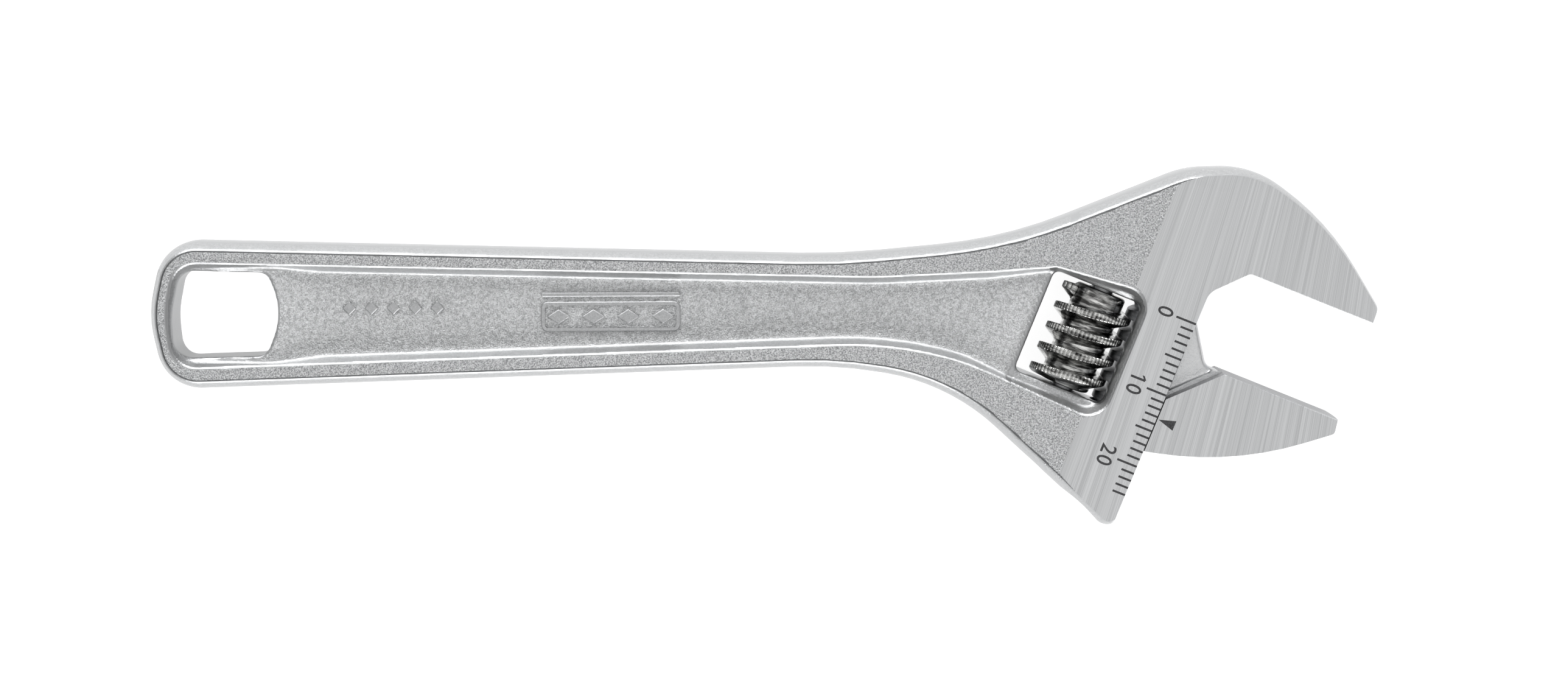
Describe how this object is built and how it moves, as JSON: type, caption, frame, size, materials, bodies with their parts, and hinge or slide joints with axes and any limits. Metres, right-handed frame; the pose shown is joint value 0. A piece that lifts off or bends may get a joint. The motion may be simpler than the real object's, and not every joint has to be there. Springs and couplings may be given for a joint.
{
  "type": "adjustable wrench",
  "caption": "Adjustable wrench: forged handle with a sunk web and hang hole, angled head, fixed jaw, and a sliding jaw moved along its rod by a knurled worm.",
  "frame": {"origin": "under the middle of the wrench's bounding box, in the plane of the lower ground faces that it lies on", "axes": "+X along the handle towards the head, +Y across the handle towards the fixed jaw's side, +Z normal to the flat faces"},
  "size_m": [0.1596, 0.0466, 0.0106],
  "materials": {
    "forged_satin_chrome": "satin chrome over a fine forged grain, ground bright on the head faces",
    "ground_chrome": "fine belt-ground faces under satin chrome",
    "dark_polished_steel": "dark, smooth and polished",
    "turned_steel": "turned",
    "spring_steel": "drawn wire"
  },
  "bodies": {
    "frame": {"body": "forged_satin_chrome", "worm_pin": "turned_steel"},
    "jaw": {"sliding_jaw": "ground_chrome"},
    "screw": {"worm": "dark_polished_steel", "worm_spring": "spring_steel"}
  },
  "joints": [
    {"name": "jaw_slide", "type": "slide", "parent": "frame", "child": "jaw", "axis": [0.3778, 0.9259, 0], "range_m": [-0.0105, 0.0131]},
    {"name": "worm_turn", "type": "hinge", "parent": "frame", "child": "screw", "pos_m": [0.04164, 0.00086, 0.0053], "axis": [0.3778, 0.9259, 0], "range_deg": [-1660, 1335]}
  ],
  "couplings": [
    {"joint": "worm_turn", "follows": "jaw_slide", "rad_per_m": -2204.6}
  ]
}
